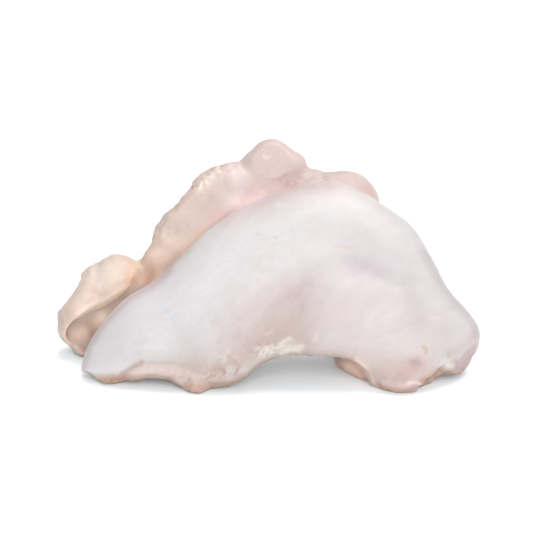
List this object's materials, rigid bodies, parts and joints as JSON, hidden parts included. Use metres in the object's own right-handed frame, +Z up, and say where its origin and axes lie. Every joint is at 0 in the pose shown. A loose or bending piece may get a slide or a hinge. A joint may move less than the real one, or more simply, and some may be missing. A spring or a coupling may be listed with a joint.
{
  "type": "natural chalcedony stone",
  "caption": "Natural chalcedony hand piece: a smooth milky fold that arches over a low vault, with a crust of rounded lobes along its upper edge, standing on its own broken feet.",
  "frame": {"origin": "middle of the bounding box, on the surface that the stone rests on", "axes": "+Z up, +X along the stone from its pointed foot to its broad foot, -Y towards the smooth face of the fold"},
  "size_m": [0.0708, 0.0338, 0.0347],
  "materials": {
    "chalcedony": "natural waxy surface, smooth and milky on the fold, rosy and slightly see-through on the crust"
  },
  "bodies": {
    "root": {"chalcedony": "chalcedony"}
  },
  "joints": []
}
